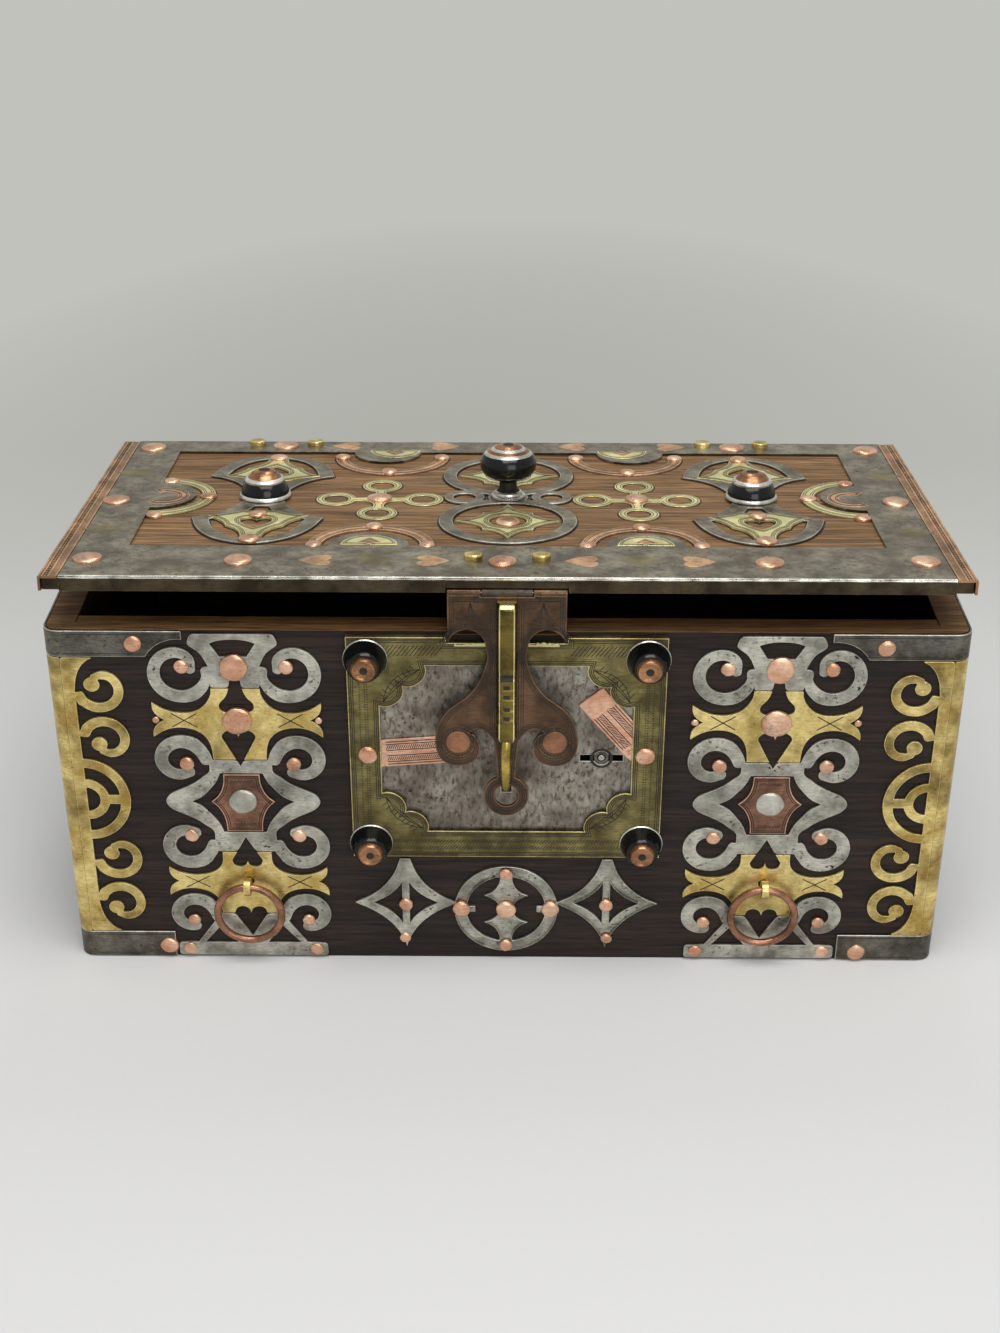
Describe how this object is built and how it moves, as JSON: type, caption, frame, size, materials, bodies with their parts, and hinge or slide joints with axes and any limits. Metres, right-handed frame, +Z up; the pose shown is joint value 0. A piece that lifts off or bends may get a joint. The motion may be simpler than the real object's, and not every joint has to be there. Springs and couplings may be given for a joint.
{
  "type": "inlaid wooden box",
  "caption": "Hinged wooden box dressed with pierced iron, brass and copper plates, with a hasp, a key lock with swinging covers, turned knobs on the lid and drop rings on the front.",
  "frame": {"origin": "centre of the underside of the base, on the surface that the box stands on", "axes": "+X along the front to the right, -Y out of the front with the lock, +Z up"},
  "size_m": [0.3806, 0.2083, 0.2053],
  "materials": {
    "wood": "dark, oiled, worn",
    "lid_wood": "brown, open grain",
    "iron": "pitted sheet iron",
    "brass": "engraved sheet brass",
    "copper": "sheet copper",
    "ebony": "black, polished"
  },
  "bodies": {
    "chest": {"front_board": "wood", "back_board": "wood", "left_end_board": "wood", "right_end_board": "wood", "base_board": "wood", "upper_left_strap": "iron", "upper_right_strap": "iron", "lower_left_strap": "iron", "lower_right_strap": "iron", "left_corner_scroll": "brass", "right_corner_scroll": "brass", "left_upper_scrolls": "iron", "left_upper_cross": "brass", "left_middle_scrolls": "iron", "left_star_plate": "copper", "left_lower_cross": "brass", "left_lower_scrolls": "iron", "right_upper_scrolls": "iron", "right_upper_cross": "brass", "right_middle_scrolls": "iron", "right_star_plate": "copper", "right_lower_cross": "brass", "right_lower_scrolls": "iron", "lower_ornament": "iron", "lock_plate": "iron", "lock_frame": "brass", "keyhole_pin": "iron", "upper_left_lock_knob": "ebony", "upper_right_lock_knob": "ebony", "lower_left_lock_knob": "ebony", "lower_right_lock_knob": "ebony", "left_ring_eye": "brass", "right_ring_eye": "brass", "left_hinge_body_leaf": "iron", "right_hinge_body_leaf": "iron", "left_hinge_pin": "iron", "right_hinge_pin": "iron"},
    "lid": {"lid_board": "lid_wood", "lid_border": "iron", "left_lid_cap": "copper", "right_lid_cap": "copper", "left_lid_frame": "iron", "centre_lid_frame": "iron", "right_lid_frame": "iron", "left_lid_knob": "ebony", "centre_lid_knob": "ebony", "right_lid_knob": "ebony", "left_hinge_lid_leaf": "iron", "right_hinge_lid_leaf": "iron", "hasp_leaf": "iron"},
    "hasp": {"hasp_plate": "copper", "hasp_bar": "brass", "hasp_staple": "iron", "hasp_pin": "iron"},
    "left_cover": {"left_cover": "copper"},
    "keyhole_cover": {"keyhole_cover": "copper"},
    "left_ring": {"left_ring": "copper"},
    "right_ring": {"right_ring": "copper"},
    "lock_bolt": {"lock_bolt": "iron"}
  },
  "joints": [
    {"name": "lid_hinge", "type": "hinge", "parent": "chest", "child": "lid", "pos_m": [0, 0.0952, 0.16515], "axis": [-1, 0, 0], "range_deg": [-5.8, 89]},
    {"name": "hasp_hinge", "type": "hinge", "parent": "lid", "child": "hasp", "pos_m": [0, -0.09402, 0.18347], "axis": [-1, 0, 0], "range_deg": [0, 78]},
    {"name": "left_cover_pivot", "type": "hinge", "parent": "chest", "child": "left_cover", "pos_m": [-0.0583, -0.0934, 0.107], "axis": [0, -1, 0], "range_deg": [-4, 50]},
    {"name": "keyhole_cover_pivot", "type": "hinge", "parent": "chest", "child": "keyhole_cover", "pos_m": [0.0583, -0.0934, 0.107], "axis": [0, -1, 0], "range_deg": [-25, 50]},
    {"name": "left_ring_pivot", "type": "hinge", "parent": "chest", "child": "left_ring", "pos_m": [-0.1125, -0.0978, 0.0411], "axis": [-1, 0, 0], "range_deg": [0, 150]},
    {"name": "right_ring_pivot", "type": "hinge", "parent": "chest", "child": "right_ring", "pos_m": [0.1125, -0.0978, 0.0411], "axis": [-1, 0, 0], "range_deg": [0, 150]},
    {"name": "lock_bolt_slide", "type": "slide", "parent": "chest", "child": "lock_bolt", "axis": [-1, 0, 0], "range_m": [0, 0.009]}
  ]
}
